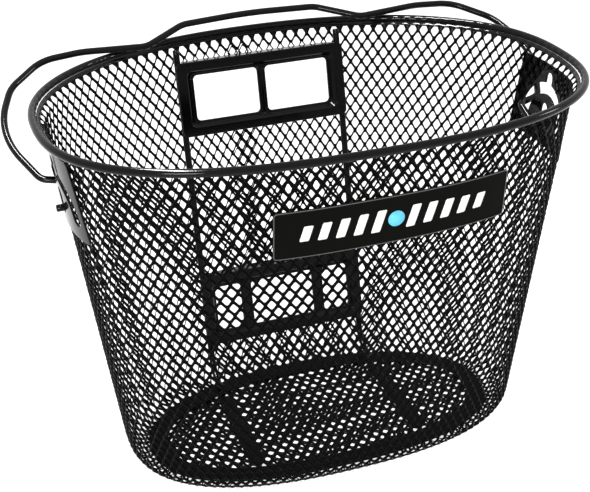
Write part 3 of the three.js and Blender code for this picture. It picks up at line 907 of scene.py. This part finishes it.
def end_plate(side, name):
    """Curved sheet on the outside of an end, drawn flat as (y, z) and wrapped on the wall."""
    y, z = slot_centre(side)
    half = SLOT_WIDTH / 2
    middle = (END_PLATE["bottom"] + END_PLATE["top"]) / 2
    height = END_PLATE["top"] - END_PLATE["bottom"]
    outline = []
    square = rounded_rectangle(0, middle, 2 * END_PLATE["bottom_half"], height, END_PLATE["corner"])
    for across, up in square:
        rise = (up - END_PLATE["bottom"]) / height
        narrowing = 1 - rise * (1 - END_PLATE["top_half"] / END_PLATE["bottom_half"])
        outline.append((PLATE_Y + across * narrowing, up))
    upright = (
        arc_points(y, z, half, 180, 360, 12) + arc_points(y, z + UPRIGHT_RISE, half, 0, 180, 12)
    )
    fixings = []
    for way in (-1, 1):
        hole_y = PLATE_Y + way * FIXING_HOLE["away"]
        fixings.append(arc_points(hole_y, FIXING_HOLE["z"], FIXING_HOLE["radius"], 0, 345, 23))
    sheet = slab([outline, arc_slot(y, z), upright, *fixings], 0, PLATE)
    points, faces = melt([sheet], voxel=0.34, rounds=3)
    angle = solve_angle(
        lambda a: wall_plan(a, points[:, 1])[:, 1], points[:, 0], -math.pi / 2, math.pi / 2,
    )
    wrapped = on_wall(angle, points[:, 1], HALF + GAP + points[:, 2])
    if side < 0:
        wrapped[:, 0] *= -1
        faces = [face[::-1] for face in faces]
    add_piece(f"{name}_sheet", wrapped, faces, name, gloss_black)


end_plate(-1, "end_plate_left")
end_plate(1, "end_plate_right")


# ---- label ----
LABEL_RIM_WIDTH = 0.8
LABEL_RIM_RISE = 0.35
BORDER_INSETS = (0.25, 0.85)  # of the grey line's two edges from the plate's
INK = 0.12
INK_ROOT = 0.2  # how deep the ink starts in the plate
BARS_EACH_SIDE = 5
BAR_SPACING = 11
BAR_WIDTH = 5.6
BAR_HEIGHT = 15.5
BAR_SHRINK = 1.1  # each bar is that much lower than its inner neighbour
BAR_SLANT = 0.28
BAR_CORNER = 0.8
DOT_RADIUS = 5.2


def on_front(points):
    """Wraps points drawn as (x, z, distance out) on the front of the wall."""
    angle = solve_angle(lambda a: wall_plan(a, points[:, 1])[:, 0], points[:, 0], -math.pi, 0)
    return on_wall(angle, points[:, 1], points[:, 2])


def label_print(loops, base):
    """Raised ink shapes on the label, each a prism that follows the wall."""
    points = []
    faces = []
    for loop in loops:
        first = len(points)
        count = len(loop)
        points += [(x, z, base + rise) for rise in (-INK_ROOT, INK) for x, z in loop]
        faces += [tuple(first + i for i in face) for face in ring_faces(2, count)]
        faces.append(tuple(first + count + i for i in range(count)))
    return on_front(np.array(points, float)), faces


def label_outline(inset=0.0):
    return rounded_rectangle(
        LABEL["x"], LABEL["z"], LABEL["length"] - 2 * inset, LABEL["height"] - 2 * inset,
        LABEL["corner"] - inset,
    )


def label():
    """A plate with a raised rim and a grey border line, printed with slanted bars either side of a dot."""
    back = HALF + GAP
    rim = back + LABEL["thickness"]
    face = rim - LABEL_RIM_RISE
    outline = label_outline()
    solids = [slab([outline], back, face), slab([outline, label_outline(LABEL_RIM_WIDTH)], back, rim)]
    points, faces = melt(solids, voxel=0.4, rounds=2)
    add_piece("label_plate_body", on_front(points), faces, "label_plate", label_black)
    borders = [label_outline(inset) for inset in BORDER_INSETS]
    points, faces = melt([slab(borders, rim - 0.3, rim + 0.1)], voxel=0.2, rounds=1)
    add_piece("label_plate_border", on_front(points), faces, "label_plate", print_grey)
    bars = []
    for place in [*range(-BARS_EACH_SIDE, 0), *range(1, BARS_EACH_SIDE + 1)]:
        x = LABEL["x"] + BAR_SPACING * place
        height = BAR_HEIGHT - BAR_SHRINK * abs(place)
        box = rounded_rectangle(0, 0, BAR_WIDTH, height, BAR_CORNER, 3)
        bars.append([(x + across + BAR_SLANT * up, LABEL["z"] + up) for across, up in box])
    points, faces = label_print(bars, face)
    add_piece("label_plate_bars", points, faces, "label_plate", print_white)
    dot = arc_points(LABEL["x"], LABEL["z"], DOT_RADIUS, 0, 352.5, 47)
    points, faces = label_print([dot], face)
    add_piece("label_plate_dot", points, faces, "label_plate", print_blue)


label()


# ---- floor, light and camera ----
def studio_floor():
    """A round white floor. It gives off light of its own, so that it stays white under weak lamps."""
    material, shader = principled("studio_floor", (0.15, 0.15, 0.15), 0.7)
    shader.inputs["Emission Color"].default_value = (1, 1, 1, 1)
    shader.inputs["Emission Strength"].default_value = 0.86
    sides = 96
    radius = 6.0
    below = 0.0003
    turns = np.arange(sides) * 2 * np.pi / sides
    ring = np.column_stack([radius * np.cos(turns), radius * np.sin(turns), np.full(sides, -below)])
    mesh = bpy.data.meshes.new("studio_floor")
    mesh.from_pydata(ring.tolist(), [], [tuple(range(sides))])
    floor = bpy.data.objects.new("studio_floor", mesh)
    bpy.context.scene.collection.objects.link(floor)
    mesh.materials.append(material)


LAMP_TARGET = Vector((0, 0, 0.15))


def softbox(name, place, size, power):
    """A rectangular lamp that faces the basket. Places and sizes are in metres and the power in watts."""
    light = bpy.data.lights.new(name, "AREA")
    light.shape = "RECTANGLE"
    light.size = size[0]
    light.size_y = size[1]
    light.energy = power
    lamp = bpy.data.objects.new(name, light)
    lamp.location = place
    lamp.rotation_euler = (LAMP_TARGET - Vector(place)).to_track_quat("-Z", "Y").to_euler()
    bpy.context.scene.collection.objects.link(lamp)


studio_floor()
softbox("key", (-1.0, -1.6, 0.55), (0.5, 0.25), 20)
softbox("overhead", (-0.35, 0.05, 1.6), (1.0, 0.14), 90)
softbox("side", (1.5, -0.4, 0.9), (0.2, 0.4), 6)
world = bpy.data.worlds.new("studio")
world.use_nodes = True
background = world.node_tree.nodes["Background"]
background.inputs["Color"].default_value = (1, 1, 1, 1)
background.inputs["Strength"].default_value = 1.0
bpy.context.scene.world = world
bpy.context.scene.view_settings.view_transform = "Standard"

# Angles in degrees, distances in the CAD's millimetres.
CAMERA = {"azimuth": -18.054, "elevation": 27.401, "distance": 838.42, "roll": -1.94, "lens": 74.62}
CAMERA_TARGET = Vector((-10.53, 11.14, 134.16))


def camera():
    azimuth = math.radians(CAMERA["azimuth"])
    elevation = math.radians(CAMERA["elevation"])
    roll = math.radians(CAMERA["roll"])
    back = Vector((
        math.sin(azimuth) * math.cos(elevation),
        -math.cos(azimuth) * math.cos(elevation),
        math.sin(elevation),
    ))
    right = (-back).cross(Vector((0, 0, 1))).normalized()
    up = right.cross(-back)
    level = right * math.cos(roll) + up * math.sin(roll)
    upright = -right * math.sin(roll) + up * math.cos(roll)
    data = bpy.data.cameras.new("camera")
    data.lens = CAMERA["lens"]
    data.sensor_width = 36
    data.clip_end = 100
    eye = bpy.data.objects.new("camera", data)
    eye.matrix_world = Matrix.Translation((CAMERA_TARGET + back * CAMERA["distance"]) * MM) @ Matrix((
        (level.x, upright.x, back.x, 0), (level.y, upright.y, back.y, 0), (level.z, upright.z, back.z, 0),
        (0, 0, 0, 1),
    ))
    bpy.context.scene.collection.objects.link(eye)
    bpy.context.scene.camera = eye


camera()
